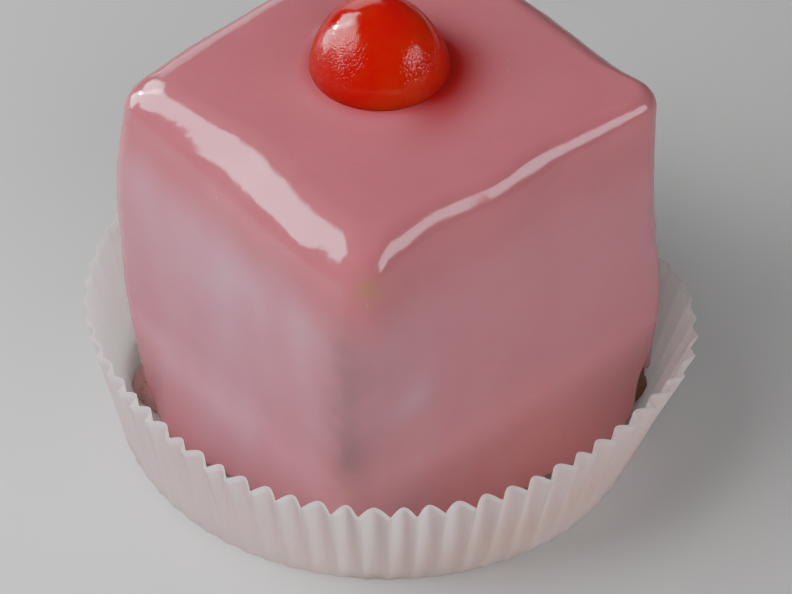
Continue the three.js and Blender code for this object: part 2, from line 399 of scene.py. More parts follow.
# %% Sizes of the coat
EDGE_R = 4.0 * MM
SOFT_EDGE = 4.2 * MM
SOFT_EDGE_AT = math.radians(-86)
SOFT_EDGE_SPREAD = math.radians(44)
SHARP_EDGE = 2.0 * MM
SHARP_EDGE_SPREAD = math.radians(8)
TALL_EDGE = 0.6
TALL_EDGE_AT = math.radians(5)
TALL_EDGE_SPREAD = math.radians(50)
POOL_H = 4.5 * MM
pools = [
    dict(at=math.radians(5), spread=math.radians(34), reach=2.2 * MM),
    dict(at=math.radians(24), spread=math.radians(12), reach=2.2 * MM),
    dict(at=math.radians(-109), spread=math.radians(18), reach=2.2 * MM),
]


def tucked_form(turn, z):
    """The block's form, but at the left edge it stays drawn in right down to the hem."""
    near = MM * left_edge["pinch"] * bell(turn_between(turn, left_edge["at"]), UPRIGHT_SPREAD)
    drawn = np.clip(1 - z / PINCH_TOP, 0, None) ** DRAWN_POWER
    return side_form(turn, z) - near * drawn * (1 - ramp(z, 0, FOOT_TOP))


def coat_form(turn, z):
    """The tucked form, with the coat's own pools at its foot."""
    return tucked_form(turn, z) + summed(pools, turn) * bell(z, POOL_H)


def top_edge_radius(turn):
    soft = SOFT_EDGE * bell(turn_between(turn, SOFT_EDGE_AT), SOFT_EDGE_SPREAD)
    sharp = SHARP_EDGE * bell(turn_between(turn, right_edge["at"]), SHARP_EDGE_SPREAD)
    return EDGE_R + soft - sharp


def top_edge_height(turn):
    """How many times as high as it is wide the round top edge is."""
    return 1 + TALL_EDGE * bell(turn_between(turn, TALL_EDGE_AT), TALL_EDGE_SPREAD)


def coat_rings(grow, form, side_steps, edge_steps, top_steps):
    """Rings from the hem up the sides, over the round top edges and across the top."""
    turn, reach = block_plan(grow)
    radius = top_edge_radius(turn) - ICING + grow
    rise = radius * top_edge_height(turn)
    top = CAKE_TOP - ICING + grow
    hem = hem_height(turn)
    rings = []
    for share in np.linspace(0, 1, side_steps + 1):
        z = hem + share * (top - rise - hem)
        rings.append(from_axis(turn, reach + form(turn, z), z))
    half = (CAKE_X + CAKE_Y) / 4
    for angle in np.linspace(0, math.pi / 2, edge_steps + 1)[1:]:
        z = top - rise * (1 - math.sin(angle))
        drawn_in = 1 - radius * (1 - math.cos(angle)) / half
        rings.append(from_axis(turn, (reach + form(turn, z)) * drawn_in, z))
    edge = rings[-1]
    middle = AXIS + np.array([0.0, 0.0, top])
    for share in np.linspace(0, 1, top_steps + 1)[1:-1]:
        rings.append(edge + share * (middle - edge))
    return np.array(rings)


# %% Build the coat
HUG = -0.2 * MM
LIP_STEPS = 5
LIP_DROP = 0.45 * ICING
LIP_FLOOR = 0.32 * MM
SIDE_STEPS = 110
EDGE_STEPS = 22
TOP_STEPS = 46

inside = coat_rings(HUG, tucked_form, side_steps=24, edge_steps=4, top_steps=4)
outside = coat_rings(ICING, coat_form, SIDE_STEPS, EDGE_STEPS, TOP_STEPS)

lip = []
for angle in np.linspace(0, math.pi, LIP_STEPS + 2)[1:-1]:
    across = (1 - math.cos(angle)) / 2
    ring = inside[0] + across * (outside[0] - inside[0])
    ring[:, 2] -= LIP_DROP * math.sin(angle)
    ring[:, 2] = np.maximum(ring[:, 2], LIP_FLOOR)
    lip.append(ring)

coat = np.concatenate([inside[::-1], np.array(lip), outside])
inside_top = AXIS + np.array([0, 0, CAKE_TOP - ICING + HUG])
outside_top = AXIS + np.array([0, 0, CAKE_TOP])
icing_mesh = closed_mesh("icing_coat", coat, inside_top, outside_top)

# %% Runs, ripples and the ring round the cherry
RUN_WIDTH = 9 * MM
RUN_DEPTH = 0.22 * MM
RUN_STRETCH = 0.28
RUN_TOP = (CAKE_TOP - 16 * MM, CAKE_TOP - 7 * MM)
RIPPLE_WIDTH = 3.6 * MM
RIPPLE_DEPTH = 0.055 * MM
BROAD_WIDTH = 12 * MM
BROAD_DEPTH = 0.13 * MM
MENISCUS = 0.25 * MM
MENISCUS_WIDTH = 1.6 * MM

CHERRY_AT = np.array((cherry_low + cherry_high) / 2)
CHERRY_R = (cherry_high.x - cherry_low.x) / 2

points = mesh_points(icing_mesh)
normals = mesh_normals(icing_mesh)
first_outside = 1 + inside.shape[0] * inside.shape[1]
outer = np.arange(len(points)) >= first_outside
rows_up = points[:, 2]
sideways = 1 - np.abs(normals[:, 2])

stretched = points * np.array([1, 1, RUN_STRETCH])
below_edge = 1 - ramp(rows_up, *RUN_TOP)
runs = waves(stretched, RUN_WIDTH, shift=3.7) * RUN_DEPTH * sideways * below_edge
ripples = waves(points, RIPPLE_WIDTH, shift=11.3) * RIPPLE_DEPTH
broad = waves(points, BROAD_WIDTH, shift=5.1) * BROAD_DEPTH
from_cherry = np.hypot(points[:, 0] - CHERRY_AT[0], points[:, 1] - CHERRY_AT[1]) - CHERRY_R
on_top = ramp(normals[:, 2], 0.8, 0.95)
meniscus = MENISCUS * bell(np.maximum(from_cherry, 0), MENISCUS_WIDTH) * on_top
raised = np.where(outer, runs + ripples + broad, 0.0)
points = points + normals * raised[:, None]
points[:, 2] += np.where(outer, meniscus, 0.0)
move_points(icing_mesh, points)
print("coat unevenness in mm:", np.round(np.ptp(raised) / MM, 2))

# %% [markdown]
# ## Marks and painted light on the icing
# A poured coat is never one colour. Along the front edge it is thin and the sponge dulls it, one
# corner is rubbed, and syrup has run out of the cherry. Other marks are painted light: painted shade
# deepens the front edge, the faces are painted pale (partly a bloom on the sugar, partly painted sheen
# of the bright floor, and low down painted light that lifts the shade), the foot gets a painted glow for
# light bounced inside the paper case, and the cherry casts a dark red painted shadow. The marks could
# be noise in the finish, but each has its own place, so every point of the mesh keeps a number for each
# mark, and the finish turns these into colours.

# %% Thin along the upright edges, with painted shade on the front one
THIN_BEFORE = 0.075
THIN_WANDER = 0.02
THIN_FROM = (6 * MM, 21 * MM)
THIN_TOP = (CAKE_TOP - 19 * MM, CAKE_TOP - 5 * MM)

turn = np.arctan2(points[:, 1] - AXIS[1], points[:, 0] - AXIS[0])
patchy = 0.8 + 0.5 * waves(points, 7 * MM, shift=5.7) + 0.2 * waves(points, 2.5 * MM, shift=0.9)
wander = THIN_WANDER * waves(points, 7 * MM, shift=3.1)
thin_height = ramp(rows_up, *THIN_FROM) * (1 - ramp(rows_up, *THIN_TOP))
# Greyish brown where the icing runs thin over the sponge; the heavy front-edge weight is painted shade
# where that edge turns from the lamps.
thin = np.zeros(len(points))
for edge in UPRIGHT_EDGES:
    past = turn_between(turn, edge["at"]) + THIN_BEFORE + wander
    near = np.where(past < 0, bell(past, 0.08), 0.5 * bell(past, 0.09) + 0.5 * bell(past, 0.22))
    thin += edge["thin"] * near * np.clip(patchy, 0.4, 1) * thin_height
paint(icing_mesh, "thin_icing", np.clip(thin, 0, 1))
print("thinnest spot:", round(float(thin.max()), 2))

# %% Rubbed at the front corner and smeared above the paper
RUBBED_DOWN = 5.0 * MM
RUBBED_IN = 4.2 * MM
RUBBED_SIZE = 2.0 * MM
SMEAR_AT = AXIS + np.array([21.6, -26.2, 13.6]) * MM
SMEAR_FLAT = np.array([0.6, 0.6, 1])
SMEAR_SIZE = 0.8 * MM
SMEAR_SHARE = 0.5

rubbed_reach = np.hypot(CAKE_X, CAKE_Y) / 2 - RUBBED_IN
rubbed_at = from_axis(front_edge["at"] + 0.03, rubbed_reach, CAKE_TOP - RUBBED_DOWN)
rubbed = bell(np.linalg.norm(points - rubbed_at, axis=1), RUBBED_SIZE)
rubbed = rubbed * np.clip(0.5 + 0.9 * waves(points, 1.6 * MM, shift=2.6), 0, 1)
smeared = bell(np.linalg.norm((points - SMEAR_AT) * SMEAR_FLAT, axis=1), SMEAR_SIZE)
paint(icing_mesh, "worn", rubbed + SMEAR_SHARE * smeared)

# %% Pale on the faces: bloom, painted sheen, and painted light low down
SHEEN_AT = math.radians(-90)
SHEEN_SPREAD = 0.7
SHEEN_FOOT = (-8 * MM, 12 * MM)
SHEEN_TOP = CAKE_TOP - 11 * MM
SHEEN_FADE = 5 * MM
PALE_SPOT = AXIS + np.array([24.7, -17.6, 27.2]) * MM
PALE_SPOT_SIZE = 3.2 * MM

# Partly a pale bloom on the sugar, partly a painted sheen for the bright floor mirrored in the faces, and
# low down painted light that lifts the shade inside the paper case.
milky_face = 0.35 + 0.5 * bell(turn_between(turn, SHEEN_AT), SHEEN_SPREAD)
milky_top = SHEEN_TOP + 3 * MM * waves(points, 9 * MM, shift=1.9)
milky_height = ramp(rows_up, *SHEEN_FOOT)
milky_height = milky_height * (1 - ramp(rows_up, milky_top - SHEEN_FADE, milky_top + SHEEN_FADE))
streaky = 0.26 * waves(stretched, 9 * MM, shift=8.9) + 0.18 * waves(stretched, 4 * MM, shift=6.1)
bloom_and_sheen = milky_face * milky_height * (0.75 + streaky)
bloom_and_sheen += 0.42 * bell(np.linalg.norm(points - PALE_SPOT, axis=1), PALE_SPOT_SIZE)
paint(icing_mesh, "bloom_and_sheen", np.clip(bloom_and_sheen, 0, 1))

# %% Painted glow at the foot, syrup and painted shadow round the cherry
FOOT_GLOW_AT = math.radians(5)
FOOT_GLOW_SPREAD = 0.8
FOOT_GLOW_H = 13 * MM
SYRUP_RING = 1.2 * MM
CHERRY_SHADOW_REACH = 4.4 * MM

# Painted light: a brighter, redder foot, strongest on the right face, stands in for light bounced inside
# the paper case.
painted_foot_glow = bell(rows_up, FOOT_GLOW_H) * (0.12 + 0.88 * bell(turn_between(turn, FOOT_GLOW_AT), FOOT_GLOW_SPREAD))
paint(icing_mesh, "painted_foot_glow", painted_foot_glow)
outside_cherry = np.maximum(from_cherry, 0)
toward_right = ((points - CHERRY_AT) @ view_right) / CHERRY_R
toward_back = ((points - CHERRY_AT) @ view_away) / CHERRY_R
# The thin ring all round is syrup stain; the wider dark red run to the right is the cherry's painted
# shadow, tinted red as light through its flesh.
shadow_side = ramp(toward_right, 0.1, 1.1) * (1 - 0.6 * ramp(toward_back, 0.1, 1.0))
syrup_and_shadow = bell(outside_cherry, SYRUP_RING) * 0.35
syrup_and_shadow += bell(outside_cherry, CHERRY_SHADOW_REACH) * 0.95 * shadow_side
paint(icing_mesh, "syrup_and_shadow", np.clip(syrup_and_shadow * on_top, 0, 1))

# %% Place the coat
icing = add_object("icing_coat", icing_mesh)
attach(icing, "root")
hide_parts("icing")

# %% [markdown]
# ## The sponge
# The sponge is hidden under the coat and only shows, dark and moist, where the hem is torn. It
# could be left as the plain solid, but the torn gaps show crumb, so its sides get a rough relief of
# their own, and its foot is pressed out at the two tears that show. Higher up the rings are wide
# apart, since nothing is seen there.

# %% Build the sponge
SPONGE_FLOOR = paper_low.z + 0.25 * MM
SPONGE_TOP = CAKE_TOP - ICING - 0.1 * MM
SPONGE_FINE_TO = 12 * MM
SPONGE_EDGE = 3 * MM
CRUMB = 0.35 * MM
CRUMB_COVER = 1.5 * MM
RIGHT_TEAR_SHADE_SPREAD = 0.3
flares = [
    dict(at=math.radians(-125), spread=math.radians(9), reach=2.0 * MM, top=7.5 * MM),
    dict(at=math.radians(44), spread=math.radians(6), reach=1.3 * MM, top=14 * MM),
]


def sponge_form(turn, z):
    """The block's form, with the sponge's own foot pressed out at the left and right tears."""
    out = side_form(turn, z)
    for flare in flares:
        out = out + summed([flare], turn) * (1 - ramp(z, 0, flare["top"]))
    return out


sponge_turn, sponge_reach = block_plan(0.0)
sponge_rings = []
low_rows = np.linspace(SPONGE_FLOOR, SPONGE_FINE_TO, 34)
high_rows = np.linspace(SPONGE_FINE_TO, SPONGE_TOP - SPONGE_EDGE, 8)[1:]
for z in np.concatenate([low_rows, high_rows]):
    heights = np.full_like(sponge_turn, z)
    reach = sponge_reach + sponge_form(sponge_turn, heights)
    sponge_rings.append(from_axis(sponge_turn, reach, heights))
for share in (0.03, 0.12, 0.5):
    heights = np.full_like(sponge_turn, SPONGE_TOP - SPONGE_EDGE * (1 - share ** 0.4))
    reach = (sponge_reach + side_form(sponge_turn, heights)) * (1 - share)
    sponge_rings.append(from_axis(sponge_turn, reach, heights))
sponge_mesh = closed_mesh(
    "sponge_block",
    np.array(sponge_rings),
    AXIS + np.array([0, 0, SPONGE_FLOOR]),
    AXIS + np.array([0, 0, SPONGE_TOP]),
)

# %% Crumb on the sponge
points = mesh_points(sponge_mesh)
crumb = waves(points, 1.6 * MM, shift=2.2) + 0.6 * waves(points, 0.8 * MM, shift=7.4)
crumb *= CRUMB * ramp(points[:, 2], SPONGE_FLOOR, SPONGE_FLOOR + 1 * MM)
turn = np.arctan2(points[:, 1] - AXIS[1], points[:, 0] - AXIS[0])
covered = ramp(points[:, 2], hem_height(turn), hem_height(turn) + CRUMB_COVER)
crumb = crumb * (1 - covered) - 0.3 * CRUMB - 2 * CRUMB * covered
move_points(sponge_mesh, points + mesh_normals(sponge_mesh) * crumb[:, None])
# Painted shade: the sponge in the deep right tear is painted darker.
paint(sponge_mesh, "right_tear_shade", bell(turn_between(turn, right_edge["at"]), RIGHT_TEAR_SHADE_SPREAD))

sponge = add_object("sponge_block", sponge_mesh)
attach(sponge, "root")
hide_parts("sponge")

# %% [markdown]
# ## The cherry
# Half a candied cherry lies cut side down. Its skin is drawn tight over soft flesh, so it is
# dented on one side and finely wrinkled where the syrup dried. A sphere with bump would keep a
# perfect outline, so dents and wrinkles are moved points here.

# %% Build the cherry
CHERRY_SIDES = 160
CHERRY_ROWS = 70
DENT = 0.05
DENT_SPREAD = 0.6
DENT_AIM = np.array([0.1, 0.85, 0.52]) / np.linalg.norm([0.1, 0.85, 0.52])
CUT_LIP = 0.2 * MM
SUNK = 0.35 * MM
CHERRY_LIFT = 0.07

cherry_turn = np.arange(CHERRY_SIDES) / CHERRY_SIDES * 2 * math.pi
cut_middle = np.array([CHERRY_AT[0], CHERRY_AT[1], cherry_low.z])


def cherry_skin(tilt, sink=0.0):
    """A ring of the cherry's skin at a tilt above its cut side."""
    level = np.cos(tilt) * np.ones(CHERRY_SIDES)
    skyward = np.sin(tilt) * np.ones(CHERRY_SIDES)
    aim_out = np.stack([level * np.cos(cherry_turn), level * np.sin(cherry_turn), skyward], axis=1)
    away = np.arccos(np.clip(aim_out @ DENT_AIM, -1, 1))
    ring = CHERRY_R * (1 - DENT * bell(away, DENT_SPREAD))[:, None] * aim_out
    ring[:, :2] *= 1 - sink / CHERRY_R
    ring[:, 2] *= 1 + CHERRY_LIFT * np.sin(tilt)
    return ring


cherry_rings = [cherry_skin(0.0, CUT_LIP) - np.array([0, 0, SUNK])]
for angle in np.linspace(0, math.pi / 2, 6)[:-1]:
    tilt = math.asin(CUT_LIP / CHERRY_R * (1 - math.cos(angle)))
    cherry_rings.append(cherry_skin(tilt, CUT_LIP * (1 - math.sin(angle))))
for tilt in np.linspace(math.asin(CUT_LIP / CHERRY_R), math.pi / 2, CHERRY_ROWS)[:-1]:
    cherry_rings.append(cherry_skin(tilt))
crown = cherry_skin(math.pi / 2)[0]
cherry_mesh = closed_mesh(
    "cherry_half",
    cut_middle + np.array(cherry_rings),
    cut_middle - np.array([0, 0, SUNK]),
    cut_middle + crown,
)

# %% Lumps and wrinkles
LUMP = 0.12 * MM
LUMP_WIDTH = 5 * MM
WRINKLE = 0.05 * MM
DRAWN_TIGHT = 0.1 * MM

points = mesh_points(cherry_mesh)
height = ramp(points[:, 2], cherry_low.z, cherry_low.z + 2 * MM)
lumps = LUMP * waves(points, LUMP_WIDTH, shift=4.4)
wrinkles = WRINKLE * (waves(points, 0.9 * MM, shift=9.1) + 0.7 * waves(points, 0.45 * MM, shift=1.7))
from_cut = points - cut_middle
aim_out = from_cut / np.linalg.norm(from_cut, axis=1)[:, None]


def near_aim(right, away, up, spread):
    """How near the skin's direction is to one given as seen from the camera."""
    toward = right * view_right + away * view_away + up * view_up
    toward = toward / np.linalg.norm(toward)
    return bell(np.arccos(np.clip(aim_out @ toward, -1, 1)), spread)


wrinkled = 0.06 + 0.16 * ramp(waves(points, 4 * MM, shift=6.3), 0.0, 0.4)
wrinkled += 0.80 * near_aim(-0.44, -0.66, 0.60, 0.30)
wrinkled += 0.45 * near_aim(0.49, -0.66, 0.57, 0.22)
wrinkled += 0.30 * near_aim(-0.90, 0.10, 0.42, 0.35)
relief = (lumps + wrinkles * wrinkled - DRAWN_TIGHT) * height
move_points(cherry_mesh, points + mesh_normals(cherry_mesh) * relief[:, None])
paint(cherry_mesh, "crinkled", wrinkled)

cherry = add_object("cherry_half", cherry_mesh)
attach(cherry, "root")
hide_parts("cherry")

# %% [markdown]
# ## The paper case
# The case is one round of thin greaseproof paper, pressed into narrow pleats that open out towards
# the rim. Its folds are sharp outside and round inside, no pleat is quite like the next, and at the
# left and right they are pressed nearly flat. The solid has the same number of pleats with few
# points each; here each pleat has many points, and its depth, place and height wander a little by a
# seeded draw.

# %% Sizes of the paper
SHEET = 0.14 * MM
BASE_R = 35.0 * MM
RIM_R = 38.6 * MM
RIM_H = paper_high.z
PLEATS = 70
PLEAT_POINTS = 14
PLEAT_DEPTH_BASE = 0.25 * MM
PLEAT_DEPTH_RIM = 2.0 * MM
RIM_LOBE = 0.6 * MM
RIM_LEAN = 1.4 * MM
RIM_LEAN_TO = math.radians(-25)
RIM_DENT = 6.5 * MM
RIM_DENT_AT = math.radians(76)
RIM_DENT_SPREAD = math.radians(20)
RIM_FLARE = 1.0 * MM
RIM_FLARE_AT = math.radians(30)
RIM_FLARE_SPREAD = math.radians(11)
RIM_TUCK = 0.5 * MM
RIM_TUCK_AT = math.radians(-95)
RIM_TUCK_SPREAD = math.radians(26)
BASE_TUCK = 1.4 * MM
BASE_TUCK_AT = math.radians(37)
BASE_TUCK_SPREAD = math.radians(25)
PRESSED = 0.78
PRESSED_FROM = (math.radians(52), math.radians(90))
PRESSED_TO = (math.radians(118), math.radians(150))
CURL = 3.5 * MM
LOW_ROWS = 8
HIGH_ROWS = 11

chance = np.random.default_rng(41)
fold_depth = chance.uniform(0.82, 1.12, PLEATS)
fold_shift = chance.uniform(-0.10, 0.10, PLEATS) * 2 * math.pi / PLEATS
fold_height = chance.uniform(-0.16, 0.0, PLEATS) * MM


def along_folds(values, turn):
    """A value given for each fold, run smoothly from fold to fold."""
    place = (turn / (2 * math.pi) * PLEATS) % PLEATS
    return np.interp(place, np.arange(PLEATS + 1), np.append(values, values[0]))


def rim_radius(turn):
    lobes = RIM_LOBE * np.cos(4 * (turn - math.pi / 4))
    lean = RIM_LEAN * np.cos(turn - RIM_LEAN_TO)
    dent = RIM_DENT * bell(turn_between(turn, RIM_DENT_AT), RIM_DENT_SPREAD)
    flare = RIM_FLARE * bell(turn_between(turn, RIM_FLARE_AT), RIM_FLARE_SPREAD)
    tuck = RIM_TUCK * bell(turn_between(turn, RIM_TUCK_AT), RIM_TUCK_SPREAD)
    return RIM_R + lobes + lean - dent + flare - tuck


# %% Build the paper case
paper_turn = np.arange(PLEATS * PLEAT_POINTS) / (PLEATS * PLEAT_POINTS) * 2 * math.pi
from_front = np.abs(turn_between(paper_turn, VIEW_TURN - math.pi / 2))


def paper_ring(share, face):
    """A ring of the wall at a share of its height, on its outer (1) or inner (-1) face."""
    shifted = paper_turn + along_folds(fold_shift, paper_turn) * share
    pleat = 1 - 2 * np.abs(np.sin(PLEATS * shifted / 2))
    depth = PLEAT_DEPTH_BASE + share ** 1.3 * (PLEAT_DEPTH_RIM - PLEAT_DEPTH_BASE)
    at_sides = ramp(from_front, *PRESSED_FROM) * (1 - ramp(from_front, *PRESSED_TO))
    depth = depth * along_folds(fold_depth, paper_turn) * (1 - PRESSED * at_sides)
    base = BASE_R - BASE_TUCK * bell(turn_between(paper_turn, BASE_TUCK_AT), BASE_TUCK_SPREAD)
    middle = base + share * (rim_radius(paper_turn) - base)
    reach = middle + depth / 2 * pleat + face * SHEET / 2
    z = share * (RIM_H + along_folds(fold_height, paper_turn))
    if face < 0:
        above = np.clip(CURL - z, 0, CURL)
        reach = reach - (CURL - np.sqrt(CURL ** 2 - above ** 2))
    return from_axis(paper_turn, reach, z)


low_shares = np.linspace(0, 1, LOW_ROWS) ** 1.5 * CURL / RIM_H
shares = np.concatenate([low_shares, np.linspace(CURL / RIM_H, 1, HIGH_ROWS)[1:]])
outer_wall = [paper_ring(share, 1) for share in shares]
inner_wall = [paper_ring(share, -1) for share in shares[::-1]]
inner_wall[-1][:, 2] = SHEET
paper_mesh = closed_mesh(
    "paper_case_wall",
    np.array(outer_wall + inner_wall),
    AXIS,
    AXIS + np.array([0, 0, SHEET]),
)

# %% Grease and placing
GREASY_AT = math.radians(-12)
GREASY_SPREAD = math.radians(38)

points = mesh_points(paper_mesh)
turn = np.arctan2(points[:, 1] - AXIS[1], points[:, 0] - AXIS[0])
greasy_side = 0.25 + 0.75 * bell(turn_between(turn, GREASY_AT), GREASY_SPREAD)
greasy = greasy_side * (1 - 0.8 * ramp(points[:, 2], 0, RIM_H))
paint(paper_mesh, "greasy", np.clip(greasy, 0, 1))

paper = add_object("paper_case_wall", paper_mesh)
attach(paper, "root")
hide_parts("paper_case")

# %% [markdown]
# ## Finishes
# Sugar, fruit, crumb and paper share three effects: cloudy patches, a fine relief and small specks.
# Each is a node group, built once and placed where needed with its own values. The groups give only
# masks and heights; each Principled shader stays in its own material, with constants on its own
# sockets.

# %% Node helpers
def add_node(tree, kind, **settings):
    node = tree.nodes.new(kind)
    for name, value in settings.items():
        setattr(node, name, value)
    return node


def new_group(name, inputs, outputs):
    group = bpy.data.node_groups.new(name, "ShaderNodeTree")
    for label, kind in inputs.items():
        group.interface.new_socket(label, in_out="INPUT", socket_type=kind)
    for label in outputs:
        group.interface.new_socket(label, in_out="OUTPUT", socket_type="NodeSocketFloat")
    entry = add_node(group, "NodeGroupInput")
    leave = add_node(group, "NodeGroupOutput")
    return group, entry, leave


def place_group(tree, group, **values):
    """A group in a material, with its values and the object's own coordinates."""
    node = add_node(tree, "ShaderNodeGroup", node_tree=group)
    where = add_node(tree, "ShaderNodeTexCoord")
    tree.links.new(where.outputs["Object"], node.inputs["Where"])
    for name, value in values.items():
        node.inputs[name].default_value = value
    return node


def tint(tree, mask, under, over):
    """A colour that goes from under to over as the mask rises from 0 to 1."""
    node = add_node(tree, "ShaderNodeMix", data_type="RGBA")
    tree.links.new(mask, node.inputs["Factor"])
    for socket, value in ((node.inputs[6], under), (node.inputs[7], over)):
        if isinstance(value, tuple):
            socket.default_value = (*value, 1.0)
        else:
            tree.links.new(value, socket)
    return node.outputs[2]


def vary(tree, mask, low, high):
    """A value that goes from low to high as the mask rises from 0 to 1."""
    node = add_node(tree, "ShaderNodeMapRange")
    tree.links.new(mask, node.inputs["Value"])
    node.inputs["To Min"].default_value = low
    node.inputs["To Max"].default_value = high
    return node.outputs["Result"]


def painted(tree, name):
    return add_node(tree, "ShaderNodeAttribute", attribute_name=name).outputs["Fac"]


def new_finish(name):
    material = bpy.data.materials.new(name)
    material.use_nodes = True
    return material, material.node_tree, material.node_tree.nodes["Principled BSDF"]


def bump(tree, shader, height, depth):
    node = add_node(tree, "ShaderNodeBump")
    node.inputs["Distance"].default_value = depth
    tree.links.new(height, node.inputs["Height"])
    tree.links.new(node.outputs["Normal"], shader.inputs["Normal"])


# %% Cloudy patches, fine relief and specks
clouds, entry, leave = new_group(
    "cloudy_patches",
    {"Where": "NodeSocketVector", "Patches per metre": "NodeSocketFloat", "Least": "NodeSocketFloat",
     "Most": "NodeSocketFloat"},
    ["Mask"],
)
cloud_noise = add_node(clouds, "ShaderNodeTexNoise")
cloud_noise.inputs["Detail"].default_value = 3.0
cloud_range = add_node(clouds, "ShaderNodeMapRange", interpolation_type="SMOOTHSTEP")
clouds.links.new(entry.outputs["Where"], cloud_noise.inputs["Vector"])
clouds.links.new(entry.outputs["Patches per metre"], cloud_noise.inputs["Scale"])
clouds.links.new(cloud_noise.outputs["Fac"], cloud_range.inputs["Value"])
clouds.links.new(entry.outputs["Least"], cloud_range.inputs["From Min"])
clouds.links.new(entry.outputs["Most"], cloud_range.inputs["From Max"])
clouds.links.new(cloud_range.outputs["Result"], leave.inputs["Mask"])

grain, entry, leave = new_group(
    "fine_relief",
    {"Where": "NodeSocketVector", "Grains per metre": "NodeSocketFloat"},
    ["Height"],
)
grain_noise = add_node(grain, "ShaderNodeTexNoise")
grain_noise.inputs["Detail"].default_value = 4.0
grain_noise.inputs["Roughness"].default_value = 0.6
grain.links.new(entry.outputs["Where"], grain_noise.inputs["Vector"])
grain.links.new(entry.outputs["Grains per metre"], grain_noise.inputs["Scale"])
grain.links.new(grain_noise.outputs["Fac"], leave.inputs["Height"])

specks, entry, leave = new_group(
    "small_specks",
    {"Where": "NodeSocketVector", "Specks per metre": "NodeSocketFloat", "Radius": "NodeSocketFloat",
     "Share": "NodeSocketFloat"},
    ["Mask"],
)
speck_cells = add_node(specks, "ShaderNodeTexVoronoi")
speck_inside = add_node(specks, "ShaderNodeMath", operation="LESS_THAN")
speck_pick = add_node(specks, "ShaderNodeSeparateColor")
speck_kept = add_node(specks, "ShaderNodeMath", operation="LESS_THAN")
speck_mask = add_node(specks, "ShaderNodeMath", operation="MULTIPLY")
specks.links.new(entry.outputs["Where"], speck_cells.inputs["Vector"])
specks.links.new(entry.outputs["Specks per metre"], speck_cells.inputs["Scale"])
specks.links.new(speck_cells.outputs["Distance"], speck_inside.inputs[0])
specks.links.new(entry.outputs["Radius"], speck_inside.inputs[1])
specks.links.new(speck_cells.outputs["Color"], speck_pick.inputs["Color"])
specks.links.new(speck_pick.outputs["Red"], speck_kept.inputs[0])
specks.links.new(entry.outputs["Share"], speck_kept.inputs[1])
specks.links.new(speck_inside.outputs[0], speck_mask.inputs[0])
specks.links.new(speck_kept.outputs[0], speck_mask.inputs[1])
specks.links.new(speck_mask.outputs[0], leave.inputs["Mask"])
print("node groups:", [group.name for group in bpy.data.node_groups])

# %% [markdown]
# ## Icing finish
# Set sugar icing is a milky pink with a hard wet gloss. Light goes a little way into it, so the
# shader gets subsurface scattering. The gloss could be a clear coat, but it belongs to the same layer
# as the colour here, so that the fine relief breaks the reflections too. Mirrored in the cherry the
# icing is made rough, or the lamps would show there a second time, and its colour for reflected rays
# is a painted dark red, which darkens its reflection in the cherry. Where the icing is thin on the
# front edge the sponge dulls it to a greyish brown, deepened there by painted shade. The sides are
# painted paler, partly a bloom and partly painted sheen and painted light lifting the shade low down,
# the foot gets a painted warm glow, and beside the cherry syrup stain and its painted shadow are red.

# %% Icing
def icing_finish():
    material, tree, shader = new_finish("icing")
    mottle = place_group(tree, clouds, **{"Patches per metre": 90.0, "Least": 0.3, "Most": 0.7})
    relief = place_group(tree, grain, **{"Grains per metre": 700.0})
    bubbles = place_group(tree, specks, **{"Specks per metre": 600.0, "Radius": 0.06, "Share": 0.05})
    pink = tint(tree, mottle.outputs["Mask"], (0.620, 0.232, 0.262), (0.645, 0.247, 0.276))
    # Painted warm glow at the foot, for light bounced inside the paper case.
    warmed = tint(tree, painted(tree, "painted_foot_glow"), pink, (0.930, 0.340, 0.330))
    # Pale bloom, painted sheen and painted light lifting the shade at the foot.
    with_sheen = tint(tree, painted(tree, "bloom_and_sheen"), warmed, (0.650, 0.430, 0.500))
    # Thin icing greyish brown, deepened by painted shade on the front edge.
    thinned = tint(tree, painted(tree, "thin_icing"), with_sheen, (0.350, 0.195, 0.205))
    rubbed = tint(tree, painted(tree, "worn"), thinned, (0.520, 0.300, 0.200))
    # Syrup stain, and the cherry's dark red painted shadow beside it.
    stained_and_shaded = tint(tree, painted(tree, "syrup_and_shadow"), rubbed, (0.480, 0.016, 0.011))
    speckled = tint(tree, bubbles.outputs["Mask"], stained_and_shaded, (0.70, 0.45, 0.47))
    # Painted reflection: rays that reach the icing by gloss see it dark red, which darkens its mirror
    # image in the cherry.
    mirrored = add_node(tree, "ShaderNodeLightPath")
    seen = tint(tree, mirrored.outputs["Is Glossy Ray"], speckled, (0.40, 0.03, 0.02))
    tree.links.new(seen, shader.inputs["Base Color"])
    rough = add_node(tree, "ShaderNodeMath", operation="MULTIPLY_ADD")
    rough.inputs[1].default_value = 0.6
    tree.links.new(mirrored.outputs["Is Glossy Ray"], rough.inputs[0])
    tree.links.new(vary(tree, mottle.outputs["Mask"], 0.08, 0.11), rough.inputs[2])
    tree.links.new(rough.outputs[0], shader.inputs["Roughness"])
    bump(tree, shader, relief.outputs["Height"], 0.04 * MM)
    shader.inputs["Subsurface Weight"].default_value = 0.5
    shader.inputs["Subsurface Radius"].default_value = (1.0, 0.5, 0.45)
    shader.inputs["Subsurface Scale"].default_value = 1.2 * MM
    shader.inputs["IOR"].default_value = 1.50
    return material


icing.data.materials.append(icing_finish())
print("icing finish placed")

# %% [markdown]
# ## Cherry finish
# Candied cherry is clear red jelly: light enters on one side and glows out of the other. True glass
# would show the pink below too sharply, so deep red scattering is used, with a third of it
# see-through. The relief breaks up the wet gloss mainly where the skin is crinkled.

